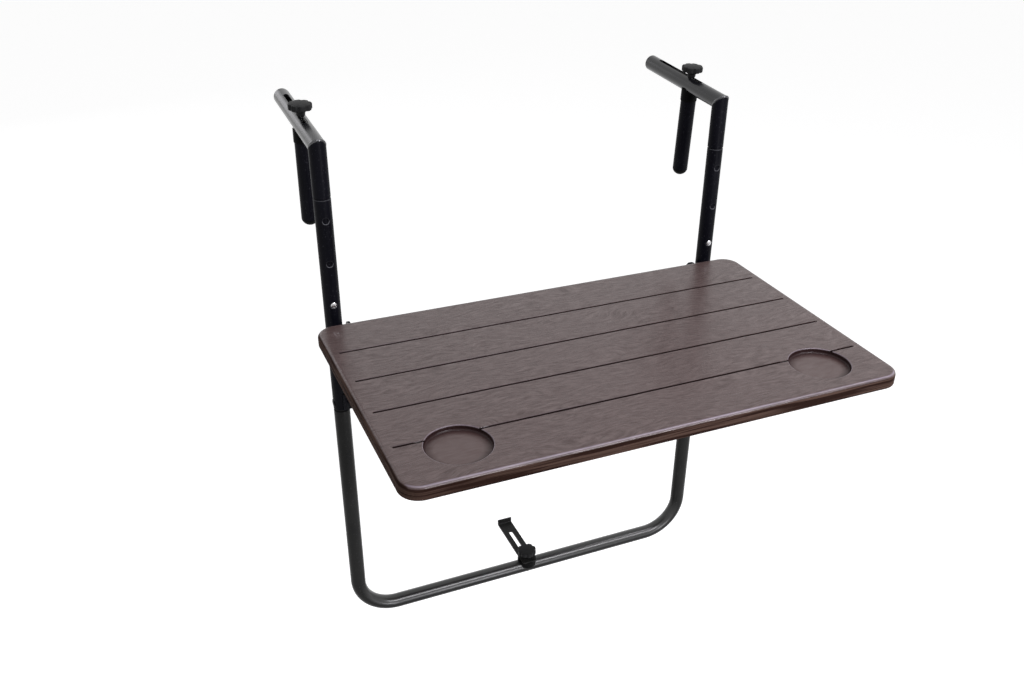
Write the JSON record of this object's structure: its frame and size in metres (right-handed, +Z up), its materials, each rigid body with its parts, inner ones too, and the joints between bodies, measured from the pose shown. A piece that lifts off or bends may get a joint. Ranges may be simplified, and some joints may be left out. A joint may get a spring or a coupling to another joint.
{
  "type": "railing bar table",
  "caption": "Fold-down bar table that hangs on a balcony railing by two height-adjustable slotted hooks with sliding clamps, on a tube frame with a rear clip.",
  "frame": {"origin": "midway between the two arms, where they rest on the front top edge of the rail", "axes": "+X along the railing to the user's right, +Y from the user towards the railing, +Z up"},
  "size_m": [0.625, 0.6013, 0.7821],
  "materials": {
    "black_steel": "satin black powder coat on steel",
    "black_plastic": "matte black moulded plastic",
    "plated_steel": "bright zinc plate",
    "top_plastic": "moulded grey-brown top with fine wood grain"
  },
  "bodies": {
    "frame": {"lower_frame": "black_steel", "clip_saddle": "black_plastic", "clip_bolt": "plated_steel", "stay_rivets": "plated_steel", "fold_bolts": "plated_steel", "fold_spacers": "plated_steel", "fold_nuts": "plated_steel", "upright_left": "black_steel", "stay_lug_left": "black_steel", "upright_right": "black_steel", "stay_lug_right": "black_steel"},
    "table": {"tabletop": "top_plastic", "bracket_screws": "plated_steel", "bracket_left": "black_steel", "bracket_right": "black_steel"},
    "clip": {"clip_strip": "black_steel"},
    "clip_knob_body": {"clip_knob": "black_plastic"},
    "stay_arm_left": {"stay_left": "black_steel", "stay_pin_left": "plated_steel"},
    "hook_left": {"hook_leg_left": "black_steel", "hook_arm_left": "black_steel", "arm_cap_left": "black_plastic", "inner_post_left": "black_steel"},
    "button_left": {"snap_button_left": "plated_steel"},
    "clamp_left": {"saddle_cap_left": "black_plastic", "peg_left": "black_steel", "peg_plug_left": "black_plastic", "clamp_bolt_left": "plated_steel"},
    "knob_left": {"clamp_knob_left": "black_plastic"},
    "stay_arm_right": {"stay_right": "black_steel", "stay_pin_right": "plated_steel"},
    "hook_right": {"hook_leg_right": "black_steel", "hook_arm_right": "black_steel", "arm_cap_right": "black_plastic", "inner_post_right": "black_steel"},
    "button_right": {"snap_button_right": "plated_steel"},
    "clamp_right": {"saddle_cap_right": "black_plastic", "peg_right": "black_steel", "peg_plug_right": "black_plastic", "clamp_bolt_right": "plated_steel"},
    "knob_right": {"clamp_knob_right": "black_plastic"}
  },
  "joints": [
    {"name": "table_fold", "type": "hinge", "parent": "frame", "child": "table", "pos_m": [0, -0.011, -0.2455], "axis": [1, 0, 0], "range_deg": [0, 90]},
    {"name": "stay_turn_left", "type": "hinge", "parent": "frame", "child": "stay_arm_left", "pos_m": [-0.2666, -0.011, -0.345], "axis": [1, 0, 0], "range_deg": [0, 124.47]},
    {"name": "hook_height_left", "type": "slide", "parent": "frame", "child": "hook_left", "axis": [0, 0, 1], "range_m": [0, 0.114], "deforming": ["snap_button_left"]},
    {"name": "button_press_left", "type": "slide", "parent": "hook_left", "child": "button_left", "axis": [0, 1, 0], "range_m": [0, 0.0036], "stiffness_N_per_m": 800, "springref_m": -0.002, "deforming": ["snap_button_left"]},
    {"name": "clamp_slide_left", "type": "slide", "parent": "hook_left", "child": "clamp_left", "axis": [0, 0.9984, 0.0558], "range_m": [-0.0245, 0.0855]},
    {"name": "knob_turn_left", "type": "hinge", "parent": "clamp_left", "child": "knob_left", "pos_m": [-0.2814, 0.06888, 0.01487], "axis": [0, -0.0558, 0.9984], "continuous": true},
    {"name": "stay_turn_right", "type": "hinge", "parent": "frame", "child": "stay_arm_right", "pos_m": [0.2666, -0.011, -0.345], "axis": [1, 0, 0], "range_deg": [0, 124.47]},
    {"name": "hook_height_right", "type": "slide", "parent": "frame", "child": "hook_right", "axis": [0, 0, 1], "range_m": [0, 0.114], "deforming": ["snap_button_right"]},
    {"name": "button_press_right", "type": "slide", "parent": "hook_right", "child": "button_right", "axis": [0, 1, 0], "range_m": [0, 0.0036], "stiffness_N_per_m": 800, "springref_m": -0.002, "deforming": ["snap_button_right"]},
    {"name": "clamp_slide_right", "type": "slide", "parent": "hook_right", "child": "clamp_right", "axis": [0, 0.9984, 0.0558], "range_m": [-0.0245, 0.0855]},
    {"name": "knob_turn_right", "type": "hinge", "parent": "clamp_right", "child": "knob_right", "pos_m": [0.2814, 0.06888, 0.01487], "axis": [0, -0.0558, 0.9984], "continuous": true},
    {"name": "clip_slide", "type": "slide", "parent": "frame", "child": "clip", "axis": [0, -1, 0], "range_m": [0, 0.064]},
    {"name": "clip_knob_turn", "type": "hinge", "parent": "frame", "child": "clip_knob_body", "pos_m": [0, -0.011, -0.7], "axis": [0, 0, 1], "continuous": true}
  ],
  "couplings": [
    {"joint": "stay_turn_left", "follows": "table_fold", "ratio": 1.3829},
    {"joint": "stay_turn_right", "follows": "table_fold", "ratio": 1.3829}
  ]
}
